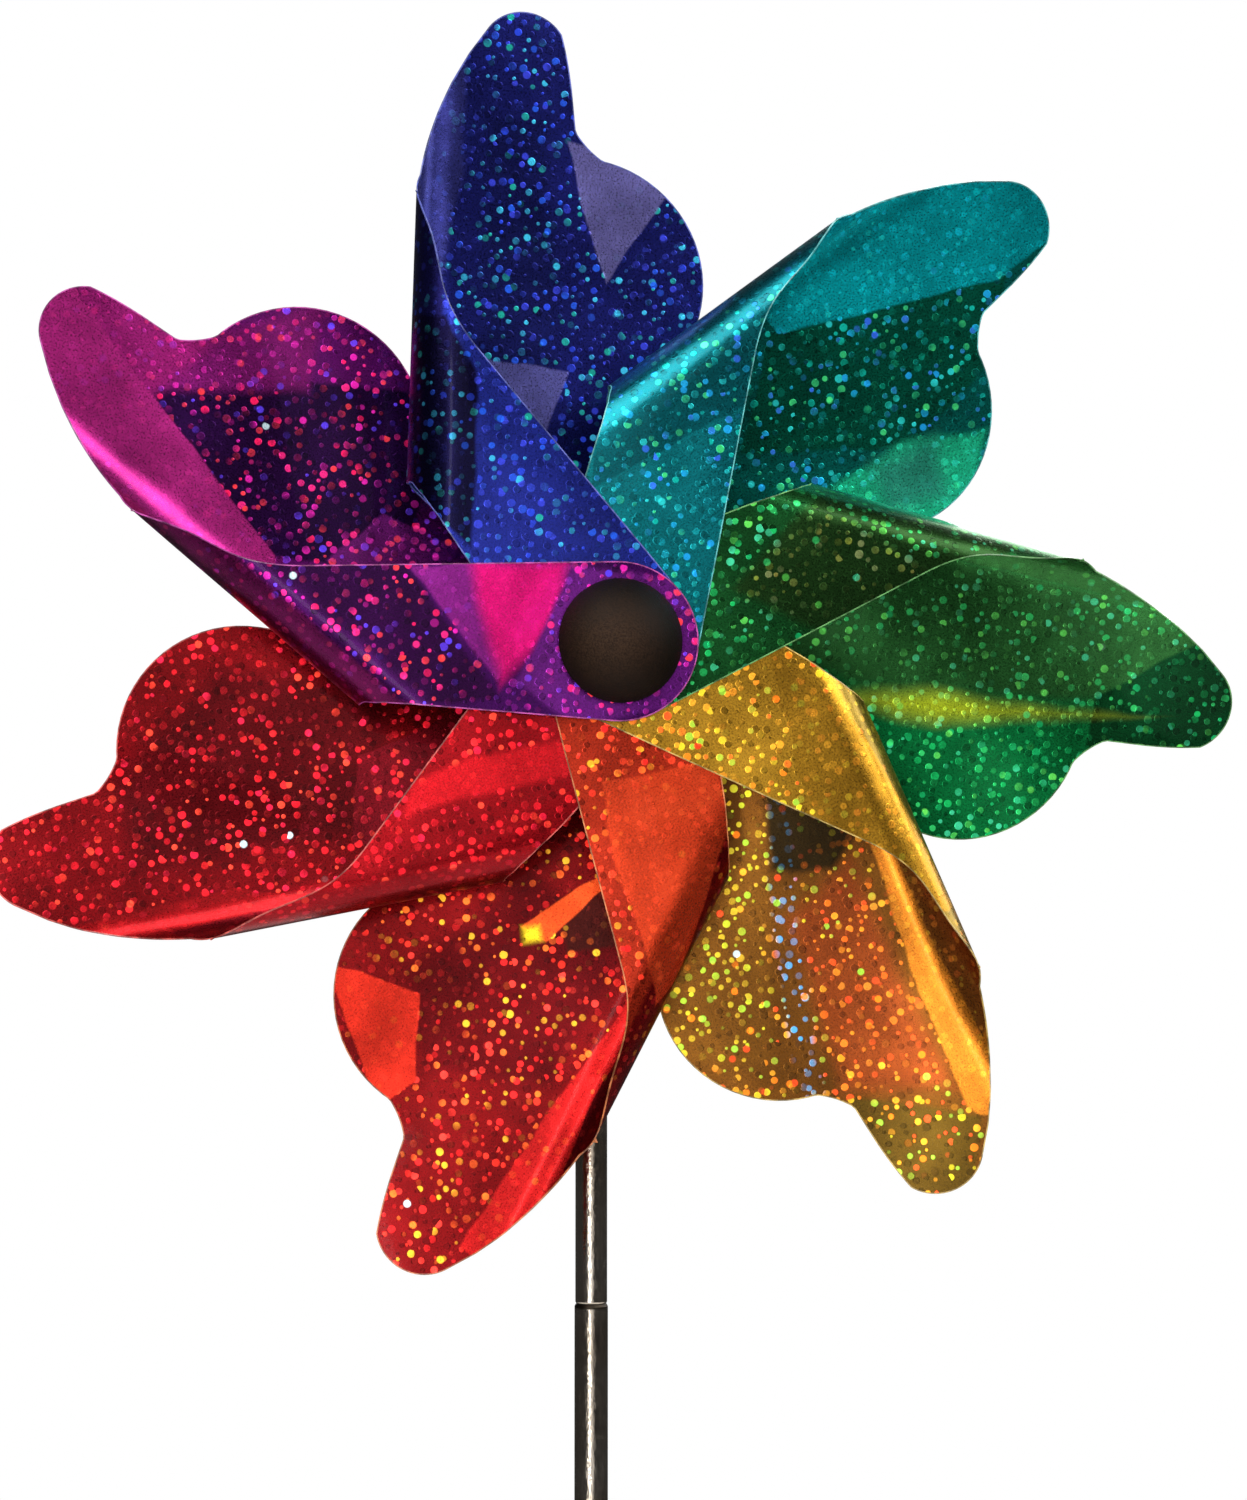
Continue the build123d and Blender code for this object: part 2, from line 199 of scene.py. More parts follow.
def flat_outline():
    """The cut edge of one petal, anticlockwise on the flat film."""
    outer_touch = polar((0, 0), TAB_RADIUS, STRIP_OUTER - pi / 2)
    inner_touch = polar((0, 0), TAB_RADIUS, STRIP_INNER + pi / 2)
    lip_start = outer_touch[0] + (LIP - outer_touch[1]) / tan(STRIP_OUTER)
    apex = inner_touch[0] + (FOLD - inner_touch[1]) / tan(STRIP_INNER)
    lobe_low = touch_angle(LOBE, LOBE_RADIUS, EAR, EAR_RADIUS, 1) - 2 * pi
    ear_top = touch_angle(EAR, EAR_RADIUS, (apex, FOLD), 0, 1)
    inner_run = [(inner_touch[0] + (apex - inner_touch[0]) * t, inner_touch[1] + (FOLD - inner_touch[1]) * t)
                 for t in (0.8, 0.9, 0.97)]
    root = polar(EAR, EAR_RADIUS, ear_top)
    root_run = [(apex + (root[0] - apex) * t, FOLD + (root[1] - FOLD) * t) for t in (0.03, 0.1, 0.2, 1.0)]
    front = [flat_front(*p) for p in [(lip_start, LIP), (FOLD_END - LIP_LEAD, LIP + MM)]]
    rear = (arc(SHOULDER, SHOULDER_RADIUS, SHOULDER_START, SHOULDER_END)
            + arc(TIP, TIP_RADIUS, SHOULDER_END, -pi / 2)[1:]
            + arc(LOBE, LOBE_RADIUS, NOTCH_ANGLE, lobe_low)
            + arc(EAR, EAR_RADIUS, lobe_low, ear_top - 2 * pi))
    rear = [flat_back(*p) for p in rear] + [flat_back(*p) for p in reversed(root_run[:3])]
    tab = arc((0, 0), TAB_RADIUS, STRIP_INNER + pi / 2, STRIP_OUTER + 3 * pi / 2)
    line = front + rear + [flat_front(apex, FOLD)] + [flat_front(*p) for p in reversed(inner_run)] + tab
    soft = [(front[0], 14 * MM), (front[1], 10 * MM),
            (flat_back(*polar(LOBE, LOBE_RADIUS, NOTCH_ANGLE)), 6 * MM), (flat_front(apex, FOLD), 4 * MM),
            (flat_back(*polar(TIP, TIP_RADIUS, -pi / 2)), 7 * MM)]
    return eased(spaced(line, 1.4 * MM), soft)


def cut_film():
    """One petal cut out of flat film: a disc of as many corners as the outline needs, then sliced for bending."""
    outline = flat_outline()
    deselect()
    bpy.ops.mesh.primitive_circle_add(vertices=len(outline), radius=TAB_RADIUS, fill_type="NGON")
    sheet = bpy.context.object
    for vertex, place in zip(sheet.data.vertices, outline):
        vertex.co = (*place, 0)
    bpy.ops.object.mode_set(mode="EDIT")
    bpy.ops.mesh.select_all(action="SELECT")
    # a thin band along the cut edge, which takes the painted edge highlight
    bpy.ops.mesh.inset(thickness=EDGE_HIGHLIGHT_LINE, depth=0)
    bpy.ops.object.mode_set(mode="OBJECT")
    sheet.data.materials.append(None)
    sheet.data.materials.append(None)
    for face in sheet.data.polygons:
        face.material_index = 0 if len(face.vertices) > 4 else 1
    bpy.ops.object.mode_set(mode="EDIT")
    top = max(p[1] for p in outline)
    right = max(p[0] for p in outline)
    across = -TAB_RADIUS
    while across < top:
        across += 1.6 * MM if BEND - 4 * MM < across < BACK_START + 8 * MM else 3 * MM
        bpy.ops.mesh.select_all(action="SELECT")
        bpy.ops.mesh.bisect(plane_co=(0, across, 0), plane_no=(0, 1, 0))
    along = -TAB_RADIUS
    while along < right:
        along += 3.1 * MM
        bpy.ops.mesh.select_all(action="SELECT")
        bpy.ops.mesh.bisect(plane_co=(along, 0, 0), plane_no=(1, 0, 0))
    bpy.ops.object.mode_set(mode="OBJECT")
    layer = sheet.data.uv_layers.new(name="film")
    for loop in sheet.data.loops:
        spot = sheet.data.vertices[loop.vertex_index].co
        layer.data[loop.index].uv = (spot.x / PATTERN + PATTERN_START, spot.y / PATTERN + PATTERN_START)
    return sheet


def rolled(index, along, across):
    """A point of the flat film in its place on the wheel: along the fold, across it, and depth behind the tabs."""
    radius = curl_radius(index)
    bend = FOLD - radius
    front = index * TAB_PITCH
    if across <= BEND:
        return (along, across * (bend / BEND if across > 0 else 1), front, 0)
    if across <= BACK_START:
        turn = (across - BEND) / CURL
        return (along, bend + radius * sin(turn), front + radius * (1 - cos(turn)), turn)
    far = LOBE[1] - LOBE_RADIUS
    start = bend + radius * sin(RAKE)
    flat_far = BACK_START + (BACK_TOP - far) / cos(RAKE)
    seen = start + (far - start) * (across - BACK_START) / (flat_far - BACK_START)
    return (along, seen, BACK_DEPTH - tan(RAKE) * seen, pi - RAKE)


BOWS = {  # how far each petal's free film stands off the plain curl: lobe, tip, strip, ripple
    "magenta": (1.6, 6.0, 0.9, 0.3), "blue": (1.2, 5.0, 0.8, 1.7), "teal": (1.8, 5.5, 0.7, 2.9),
    "green": (1.3, 6.5, 0.9, 4.1), "gold": (1.7, 5.0, 0.8, 5.2), "orange": (1.4, 6.0, 0.9, 0.9),
    "red": (1.5, 5.5, 0.8, 2.2),
}


def bowed(colour, along, seen, depth, turn):
    """The film's own spring: the lobe is crowned, the tip turns forwards and the strip is a little hollow."""
    lobe, tip, strip, phase = BOWS[colour]
    if turn < pi / 2:
        free = smooth(hypot(along, seen), 24 * MM, 60 * MM) * (1 - turn / (pi / 2))
        side = (seen * cos(STRIP_OUTER) - along * sin(STRIP_OUTER)) / (20 * MM)
        return depth + strip * MM * free * (side * side - 0.3)
    root = smooth(hypot(along, seen), 26 * MM, 70 * MM)
    away = hypot(along - LOBE[0], seen - LOBE[1]) / LOBE_RADIUS
    flatness = smooth(turn, pi / 2, pi - RAKE)
    crown = lobe * MM * root * flatness * (exp(-away * away) - 0.35)
    ripple = 0.5 * MM * root * flatness * sin(along / (17 * MM) + seen / (11 * MM) + phase)
    forward = 0.7 * tip * MM * smooth(along, 90 * MM, 168 * MM) * smooth(seen, -8 * MM, 56 * MM)
    hook = 0.8 * MM * smooth(along, 128 * MM, 158 * MM)
    return depth + crown + ripple - forward - hook


def petal(index, colour, flat_sheet):
    """One petal: the flat film rolled round its own curl, given its thickness and put in its node's place."""
    deselect()
    sheet = flat_sheet.copy()
    sheet.data = flat_sheet.data.copy()
    sheet.name = f"film_petal_{colour}"
    bpy.context.scene.collection.objects.link(sheet)
    direction = FIRST_FOLD - index * PITCH
    fold = Vector((cos(direction), 0, sin(direction)))
    to_curl = Vector((-sin(direction), 0, cos(direction)))
    origin = Vector((hub.x, tab_front, hub.z))
    for vertex in sheet.data.vertices:
        along, seen, depth, turn = rolled(index, vertex.co.x, vertex.co.y)
        depth = bowed(colour, along, seen, depth, turn)
        vertex.co = origin + fold * along + to_curl * seen + Vector((0, depth, 0))
    sheet.data.materials[0] = film_material(colour)
    sheet.data.materials[1] = edge_highlight_material(colour)
    apply_modifier(sheet, "SOLIDIFY", thickness=FILM, offset=-1, use_even_offset=True, material_offset_rim=1)
    smooth_shade(sheet, 50)
    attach(sheet, "rotor")
    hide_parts(f"petal_{colour}")


# ---------------------------------------------------------------- materials
class Nodes:
    """A material's node tree, built by name: each call adds a node, sets its inputs and links the rest."""

    def __init__(self, name):
        self.material = bpy.data.materials.new(name)
        self.material.use_nodes = True
        self.tree = self.material.node_tree
        self.tree.nodes.clear()

    def add(self, kind, inputs=None, **settings):
        node = self.tree.nodes.new(kind)
        for key, value in settings.items():
            setattr(node, key, value)
        for key, value in (inputs or {}).items():
            if isinstance(value, bpy.types.NodeSocket):
                self.tree.links.new(value, node.inputs[key])
            else:
                node.inputs[key].default_value = value
        return node

    def math(self, operation, a, b=0.0, c=0.0, clamp=False):
        return self.add("ShaderNodeMath", {0: a, 1: b, 2: c}, operation=operation, use_clamp=clamp).outputs[0]

    def remap(self, value, low, high, to_low=0.0, to_high=1.0, smooth_step=True):
        return self.add("ShaderNodeMapRange",
                        {"Value": value, "From Min": low, "From Max": high, "To Min": to_low, "To Max": to_high},
                        interpolation_type="SMOOTHSTEP" if smooth_step else "LINEAR").outputs["Result"]

    def mix(self, factor, a, b):
        node = self.add("ShaderNodeMix", data_type="RGBA")
        for socket, value in ((node.inputs[0], factor), (node.inputs[6], a), (node.inputs[7], b)):
            if isinstance(value, bpy.types.NodeSocket):
                self.tree.links.new(value, socket)
            else:
                socket.default_value = value
        return node.outputs[2]

    def ramp(self, factor, stops, interpolation="LINEAR"):
        node = self.add("ShaderNodeValToRGB", {"Fac": factor})
        node.color_ramp.interpolation = interpolation
        while len(node.color_ramp.elements) < len(stops):
            node.color_ramp.elements.new(0.5)
        for element, (place, colour) in zip(node.color_ramp.elements, stops):
            element.position = place
            element.color = (*colour, 1)
        return node.outputs["Color"]

    def noise(self, where, scale, detail=2.0, roughness=0.5):
        return self.add("ShaderNodeTexNoise", {"Vector": where, "Scale": scale, "Detail": detail,
                                               "Roughness": roughness}).outputs["Fac"]

    def object_space(self):
        return self.add("ShaderNodeTexCoord").outputs["Object"]

    def finish(self, shader):
        self.add("ShaderNodeOutputMaterial", {"Surface": shader})
        return self.material


def tint(red, green, blue):
    """A paint-chart colour, 0 to 255, as the linear colour a shader takes."""
    parts = [value / 255 for value in (red, green, blue)]
    return (*[c / 12.92 if c <= 0.04045 else ((c + 0.055) / 1.055) ** 2.4 for c in parts], 1)


# Each film's tones: the back sheet, the strip over the hub, the outer half of the curl, the cut edge, and the
# colours its embossed dots throw. The strip and curl tones are painted reflection and shade on one dyed film.
FILM_TONES = {
    "magenta": ((95, 15, 98), (72, 12, 92), (108, 20, 80), (225, 90, 190),
                ((245, 30, 85), (235, 40, 120), (90, 60, 225), (225, 35, 165), (250, 60, 60))),
    "blue": ((28, 32, 108), (36, 46, 142), (26, 24, 84), (110, 120, 215),
             ((34, 60, 190), (55, 175, 210), (32, 80, 200), (28, 150, 135), (50, 60, 190))),
    "teal": ((8, 120, 110), (14, 124, 132), (6, 92, 104), (110, 215, 215),
             ((15, 165, 150), (30, 150, 215), (60, 195, 110), (40, 190, 190), (50, 100, 215))),
    "green": ((14, 124, 62), (24, 84, 38), (26, 78, 34), (120, 190, 110),
              ((25, 175, 90), (50, 190, 100), (20, 150, 85), (90, 200, 80), (60, 190, 140))),
    "gold": ((116, 70, 20), (206, 152, 44), (142, 116, 44), (245, 205, 110),
             ((225, 210, 45), (250, 125, 30), (150, 200, 60), (255, 170, 45), (245, 75, 35))),
    "orange": ((112, 9, 12), (200, 54, 30), (126, 12, 16), (255, 150, 90),
               ((240, 50, 35), (250, 110, 40), (225, 35, 35), (235, 175, 45), (240, 60, 50))),
    "red": ((120, 8, 15), (164, 16, 25), (125, 12, 20), (255, 110, 100),
            ((245, 40, 45), (235, 30, 45), (225, 30, 40), (250, 70, 50), (240, 35, 70))),
}

# Painted reflections, highlights and shade laid over the film's tones: the colour, how soft the border is in mm,
# how lively the dots are, and the corners of the area in mm on the flat film, along the fold and across it.
PAINTED_LIGHT_AREAS = {
    "magenta": (
        ((36, 5, 54), 1.5, 0.8, ((128, 90), (76, 80), (50, 98), (70, 140), (99, 119))),
        ((122, 22, 102), 4.0, 0.5, ((127, 91), (97, 118), (108, 138), (128, 106))),
        ((150, 28, 108), 5.0, 0.25, ((124, 88), (122, 112), (140, 112), (165, 92), (150, 80))),
        ((168, 36, 118), 0.7, 0.08, ((55, 58), (162, 58), (162, 99), (127, 91.5), (76, 80.5))),
        ((112, 26, 112), 1.0, 0.6, ((66, 88), (63, 106), (43, 112), (46, 96))),
        ((50, 6, 62), 1.6, 0.9, ((84, 43), (31, 46), (12, 30), (52, 19))),
        ((146, 36, 140), 1.2, 0.25, ((50, 19), (16, 27), (20, -7))),
        ((255, 22, 134), 5.0, 0.05, ((39, 9), (25, 20), (15, 26), (14, 8), (22, -6))),
        ((112, 32, 132), 2.0, 1.0, ((20, -7), (-5, -23), (-24, -1), (-6, 22), (12, 24))),
    ),
    "blue": (
        ((22, 26, 88), 6.0, 1.0, ((84, 82), (130, 84), (132, 98), (60, 104), (56, 88))),
        ((52, 54, 126), 2.5, 0.15, ((60, 58), (162, 58), (158, 84), (140, 81), (113, 77), (70, 77))),
        ((116, 110, 178), 0.8, 0.05, ((126, 103), (124, 130), (116, 130), (92, 115))),
        ((92, 90, 160), 0.8, 0.05, ((71, 84), (69, 106), (52, 100))),
        ((14, 10, 48), 1.4, 0.45, ((78, 60), (77, 44), (63, 36), (21, 36), (34, 52))),
    ),
    "teal": (
        ((5, 108, 84), 1.2, 1.0, ((139, 101), (80, 78), (57, 98), (94, 122), (126, 116))),
        ((46, 245, 184), 3.0, 0.35, ((57, 100), (94, 120), (122, 122), (95, 146), (42, 114))),
        ((9, 203, 214), 0.9, 0.25, ((80, 60), (168, 60), (166, 100), (137, 101), (82, 79))),
        ((60, 196, 164), 8.0, 0.1, ((84, 120), (100, 124), (95, 138), (80, 132))),
        ((8, 98, 106), 0.6, 0.8, ((17, 33), (59, 28), (90, 38), (90, 48), (30, 48))),
    ),
    "green": (
        ((12, 130, 66), 4.0, 1.0, ((58, 112), (112, 105), (128, 126), (95, 148), (50, 124))),
        ((44, 102, 48), 5.0, 0.6, ((20, 73), (73, 70), (136, 69), (150, 76), (123, 97), (64, 109), (39, 105))),
        ((8, 66, 32), 1.0, 1.0, ((123, 96), (147, 74), (172, 87), (148, 114), (124, 108))),
        ((40, 92, 42), 0.7, 0.2, ((60, 58), (91, 54), (122, 56), (137, 70), (73, 71))),
        ((196, 214, 44), 6.5, 0.5, ((58, 113), (82, 106), (116, 102), (86, 112))),
        ((34, 68, 28), 3.0, 0.6, ((24, 20), (60, 12), (90, 50), (40, 50))),
    ),
    "gold": (
        ((128, 80, 24), 5.0, 1.0, ((51, 110), (56, 97), (112, 120), (98, 146))),
        ((150, 68, 26), 7.0, 1.0, ((72, 82), (134, 82), (124, 106), (80, 102))),
        ((92, 68, 18), 2.0, 1.0, ((126, 105), (143, 79), (166, 91), (150, 114))),
        ((46, 33, 10), 2.6, 0.15, ((46, 94), (67, 79), (73, 87), (67, 101))),
        ((206, 122, 34), 0.9, 0.12, ((66, 58), (152, 58), (143, 79), (137, 82), (103, 79), (66, 77))),
        ((150, 86, 32), 0.8, 0.2, ((76, 71), (88, 54), (119, 56), (125, 69), (100, 71.5))),
        ((190, 138, 38), 0.9, 0.25, ((14, 33), (38, 44.5), (78, 53), (92, 53), (92, 28), (47, 27))),
    ),
    "orange": (
        ((88, 5, 9), 5.0, 0.85, ((60, 78), (102, 80), (112, 108), (92, 124), (58, 108))),
        ((186, 26, 26), 1.0, 0.12, ((70, 58), (150, 58), (146, 82), (111, 78), (73, 72))),
        ((92, 8, 14), 0.6, 0.1, ((74, 66), (90, 54), (118, 56), (118, 66), (100, 68.5))),
        ((202, 42, 26), 0.7, 0.05, ((100, 142), (96, 118), (116, 109), (126, 114))),
        ((64, 16, 12), 1.4, 0.3, ((60, 99), (48, 86), (61, 77), (71, 91))),
        ((234, 80, 32), 0.6, 0.05, ((70, 104), (46, 90.5), (46, 88), (71, 96.5))),
        ((255, 225, 40), 3.0, 0.0, ((71, 98), (73, 101), (70, 103), (68, 100))),
        ((255, 78, 40), 1.0, 0.15, ((34, 8), (15, 33), (28, 44), (66, 54), (82, 46), (47, 22))),
    ),
    "red": (
        ((84, 5, 11), 9.0, 1.0, ((94, 130), (56, 118), (58, 84), (124, 84), (124, 108))),
        ((114, 12, 24), 0.7, 0.8, ((65, 103), (37, 109), (60, 80), (70, 82))),
        ((142, 14, 19), 1.0, 0.1, ((20, 58), (162, 58), (156, 92), (142, 88), (70, 77.5), (23, 79))),
        ((118, 12, 22), 0.7, 0.1, ((118, 67), (77, 70), (70, 58), (106, 54))),
        ((226, 28, 38), 2.4, 0.1, ((56, 23), (41, 20), (8, 20), (8, 28), (58, 30))),
    ),
}

# How bright the dots stay between the places where they crowd.
DOTS_BETWEEN = {"gold": 0.65}

# Where the dots throw a colour of their own: the colour, how far it takes over, how soft the border is in mm, and the
# corners of the area.
DOT_STREAKS = {
    "green": (
        ((225, 130, 40), 0.45, 6.0, ((24, 20), (60, 12), (76, 34), (40, 44))),
    ),
    "gold": (
        ((165, 205, 50), 0.6, 8.0, ((44, 100), (60, 96), (112, 124), (98, 146), (50, 128))),
        ((245, 78, 30), 0.65, 7.0, ((80, 76), (134, 78), (126, 108), (92, 100))),
        ((60, 178, 240), 1.0, 2.5, ((48, 88), (50, 94), (76, 104.5), (77, 98.5))),
        ((60, 178, 240), 1.0, 2.5, ((76, 98.5), (76, 104.5), (122, 117), (122, 111))),
    ),
}


def area_mask(n, spot, corners, soft):
    """Inside a convex area of the flat film, given its corners: the least distance to its sides, softened."""
    turning = sum(a[0] * b[1] - b[0] * a[1] for a, b in zip(corners, corners[1:] + corners[:1]))
    if turning < 0:
        corners = corners[::-1]
    inside = None
    for a, b in zip(corners, corners[1:] + corners[:1]):
        reach = hypot(b[0] - a[0], b[1] - a[1])
        inward = ((a[1] - b[1]) / reach, (b[0] - a[0]) / reach)
        side = (*inward, -(inward[0] * a[0] + inward[1] * a[1]))
        distance = n.add("ShaderNodeVectorMath", {0: spot, 1: side}, operation="DOT_PRODUCT").outputs["Value"]
        inside = distance if inside is None else n.math("MINIMUM", inside, distance)
    return n.remap(inside, -soft / 2, soft / 2)


def dot_layer(n, where, scale, low, high):
    """Round embossed dots of mixed sizes: the dots, a number of each one's own, and its cell."""
    cell = n.add("ShaderNodeTexVoronoi", {"Vector": where, "Scale": scale, "Randomness": 1.0},
                 voronoi_dimensions="2D")
    own = n.add("ShaderNodeSeparateColor", {"Color": cell.outputs["Color"]})
    radius = n.remap(own.outputs["Blue"], 0, 1, low, high, False)
    return n.remap(n.math("SUBTRACT", radius, cell.outputs["Distance"]), 0.0, 0.09), own, cell


def film_material(colour):
    """Dyed mirror film embossed with round dots, each of which throws its own colour; its tones carry painted
    reflections, highlights and shade, and the dots' glints are painted and glow by emission.
    """
    sheet_tone, strip_tone, lip_tone, _, dots = FILM_TONES[colour]
    n = Nodes(f"holographic_{colour}")
    uv = n.add("ShaderNodeUVMap", uv_map="film").outputs["UV"]
    start = 0.37 * COLOURS.index(colour)
    where = n.add("ShaderNodeVectorMath", {0: uv, 1: (start, start * 1.7, 0)}, operation="ADD").outputs[0]
    waver = n.add("ShaderNodeTexNoise", {"Vector": where, "Scale": 14.0, "Detail": 2.0}).outputs["Color"]
    across = PATTERN / MM
    back = -PATTERN_START * across
    spot = n.add("ShaderNodeVectorMath", {0: uv, 1: (across, across, 0), 2: (back, back, 1)},
                 operation="MULTIPLY_ADD").outputs[0]
    spot = n.add("ShaderNodeVectorMath", {0: waver, 1: (3.0, 3.0, 0), 2: spot}, operation="MULTIPLY_ADD").outputs[0]
    spot = n.add("ShaderNodeVectorMath", {0: spot, 1: (-1.5, -1.5, 0)}, operation="ADD").outputs[0]
    # painted reflection and shade, area by area: the strip, curl and back-sheet tones, then the painted areas
    split = n.add("ShaderNodeSeparateXYZ", {"Vector": spot})
    height = split.outputs["Y"]
    lip = n.remap(height, 44.0, 46.0)
    sheet = n.remap(height, 57.0, 59.0)
    tone = n.mix(sheet, n.mix(lip, tint(*strip_tone), tint(*lip_tone)), tint(*sheet_tone))
    lively = n.add("ShaderNodeMix", {0: lip, 2: 1.0, 3: 0.25}, data_type="FLOAT").outputs[0]
    lively = n.add("ShaderNodeMix", {0: sheet, 2: lively, 3: 0.9}, data_type="FLOAT").outputs[0]
    # each area paints a reflection, highlight or shade over the tone
    for shade, soft, liveliness, corners in PAINTED_LIGHT_AREAS[colour]:
        mask = area_mask(n, spot, corners, soft)
        tone = n.mix(mask, tone, tint(*shade))
        lively = n.add("ShaderNodeMix", {0: mask, 2: lively, 3: liveliness}, data_type="FLOAT").outputs[0]
    cloud = n.noise(where, 11.0, 4.0, 0.6)
    grain = n.noise(where, 420.0, 2.0, 0.6)
    shading = n.math("MULTIPLY", n.remap(cloud, 0.3, 0.7, 0.78, 1.22), n.remap(grain, 0.3, 0.7, 0.86, 1.14))
    # dots, with painted glints: lit dots take their own bright colour and glow by emission
    fine, fine_own, fine_cell = dot_layer(n, where, DOT_CELLS, 0.18, 0.46)
    large, large_own, _ = dot_layer(n, where, LARGE_DOT_CELLS, 0.12, 0.27)
    stops = [(i / len(dots), tint(*dot)[:3]) for i, dot in enumerate(dots)]
    fine_colour = n.ramp(fine_own.outputs["Red"], stops, "CONSTANT")
    large_colour = n.ramp(large_own.outputs["Green"], stops[1:] + [(0.975, tint(190, 215, 220)[:3])], "CONSTANT")
    for shade, take, soft, corners in DOT_STREAKS.get(colour, ()):
        streak = n.math("MULTIPLY", area_mask(n, spot, corners, soft), take)
        fine_colour = n.mix(streak, fine_colour, tint(*shade))
    crowd = n.remap(n.noise(where, 13.0, 3.0, 0.6), 0.40, 0.58,
                    DOTS_BETWEEN.get(colour, 0.10))
    bright = n.math("MULTIPLY", n.remap(fine_own.outputs["Green"], 0.15, 0.80), n.math("MULTIPLY", crowd, lively))
    fine_lit = n.math("MULTIPLY", fine, bright)
    large_lit = n.math("MULTIPLY", large, n.math("MULTIPLY", n.remap(large_own.outputs["Blue"], 0.86, 0.92), lively))
    faint = n.math("MULTIPLY", n.math("MULTIPLY", fine, lively), n.remap(fine_own.outputs["Green"], 0, 1, -0.45, 1.0))
    shading = n.math("MULTIPLY", shading, n.math("ADD", faint, 1.0))
    base = n.add("ShaderNodeVectorMath", {0: tone, "Scale": shading}, operation="SCALE").outputs[0]
    base = n.mix(n.math("MULTIPLY", fine_lit, 0.95), base, fine_colour)
    base = n.mix(large_lit, base, large_colour)
    # every dot leans its own way, and the film is a little wavy
    within = n.add("ShaderNodeVectorMath", {0: where, "Scale": DOT_CELLS}, operation="SCALE").outputs[0]
    lean = n.add("ShaderNodeVectorMath", {0: fine_cell.outputs["Color"], 1: (0.5, 0.5, 0.5)},
                 operation="SUBTRACT").outputs[0]
    slope = n.add("ShaderNodeVectorMath", {0: within, 1: lean}, operation="DOT_PRODUCT").outputs["Value"]
    facet = n.math("MULTIPLY", n.math("FRACT", slope), n.math("MULTIPLY", fine, lively))
    facets = n.add("ShaderNodeBump", {"Height": facet, "Strength": 0.22, "Distance": 0.0005})
    normal = n.add("ShaderNodeBump", {"Height": n.noise(where, 7.0, 2.0, 0.4), "Strength": 0.25, "Distance": 0.004,
                                      "Normal": facets.outputs["Normal"]}).outputs["Normal"]
    rough = n.remap(grain, 0.3, 0.7, 0.24, 0.36, False)
    film = n.add("ShaderNodeBsdfPrincipled", {"Base Color": base, "Metallic": 0.94, "Roughness": rough,
                                              "Normal": normal, "Emission Color": base,
                                              "Coat Weight": 0.06, "Coat Roughness": 0.05})
    glint = n.math("ADD", n.math("MULTIPLY", fine_lit, 0.75), n.math("MULTIPLY", large_lit, 0.65))
    n.tree.links.new(glint, film.inputs["Emission Strength"])
    clear = n.add("ShaderNodeBsdfTransparent", {"Color": tint(*[min(255, c * 1.4) for c in sheet_tone])})
    both = n.add("ShaderNodeMixShader", {0: n.remap(fine, 0, 1, 0.90, 0.98, False), 1: clear.outputs[0],
                                         2: film.outputs[0]})
    return n.finish(both.outputs[0])


def edge_highlight_material(colour):
    """The cut edge of the film, with a painted highlight as if light leaked out of it."""
    bright = FILM_TONES[colour][3]
    n = Nodes(f"painted_edge_highlight_{colour}")
    grain = n.noise(n.object_space(), 260.0, 3.0, 0.6)
    tone = n.mix(n.remap(grain, 0.35, 0.65), tint(*[c * 0.42 for c in bright]), tint(*[c * 0.8 for c in bright]))
    edge = n.add("ShaderNodeBsdfPrincipled", {"Base Color": tone, "Roughness": n.remap(grain, 0, 1, 0.2, 0.4)})
    return n.finish(edge.outputs[0])


def rubber_material():
    """Grained rubber with a painted highlight: lighter on the crown of the dome, darker towards its rim."""
    n = Nodes("grained_rubber")
    where = n.object_space()
    grain = n.noise(where, 2100.0, 3.0, 0.6)
    bloom = n.noise(where, 90.0, 3.0, 0.5)
    # centre of the painted highlight, which fades out towards the dome's rim
    crown = (hub.x - 2.5 * MM, 0, hub.z - MM)
    flat = n.add("ShaderNodeVectorMath", {0: where, 1: (1, 0, 1)}, operation="MULTIPLY").outputs[0]
    away = n.add("ShaderNodeVectorMath", {0: flat, 1: crown}, operation="DISTANCE").outputs["Value"]
    painted_crown_highlight = n.math("MULTIPLY", n.remap(away, 2 * MM, 16 * MM, 1.0, 0.0), n.remap(bloom, 0.3, 0.7, 0.85, 1.1))
    tone = n.mix(painted_crown_highlight, tint(9, 5, 3), tint(43, 29, 19))
    tone = n.add("ShaderNodeVectorMath", {0: tone, "Scale": n.remap(grain, 0.3, 0.7, 0.55, 1.5)},
                 operation="SCALE").outputs[0]
    bump = n.add("ShaderNodeBump", {"Height": grain, "Strength": 0.6, "Distance": 0.0003})
    rough = n.remap(grain, 0.3, 0.7, 0.50, 0.66)
    skin = n.add("ShaderNodeBsdfPrincipled", {"Base Color": tone, "Roughness": rough,
                                              "Normal": bump.outputs["Normal"]})
    skin.inputs["Specular IOR Level"].default_value = 0.07
    return n.finish(skin.outputs[0])


def moulded_material(name, tone, rough):
    """Moulded plastic with faint flow marks."""
    n = Nodes(name)
    where = n.object_space()
    flow = n.noise(where, 160.0, 3.0, 0.5)
    fine = n.noise(where, 1800.0, 2.0, 0.5)
    colour = n.mix(n.remap(flow, 0.3, 0.7), (*tone, 1), (*[c * 1.25 + 0.004 for c in tone], 1))
    bump = n.add("ShaderNodeBump", {"Height": fine, "Strength": 0.12, "Distance": 0.0002})
    body = n.add("ShaderNodeBsdfPrincipled", {"Base Color": colour, "Normal": bump.outputs["Normal"],
                                              "Roughness": n.remap(flow, 0.2, 0.8, rough, rough + 0.12)})
    return n.finish(body.outputs[0])


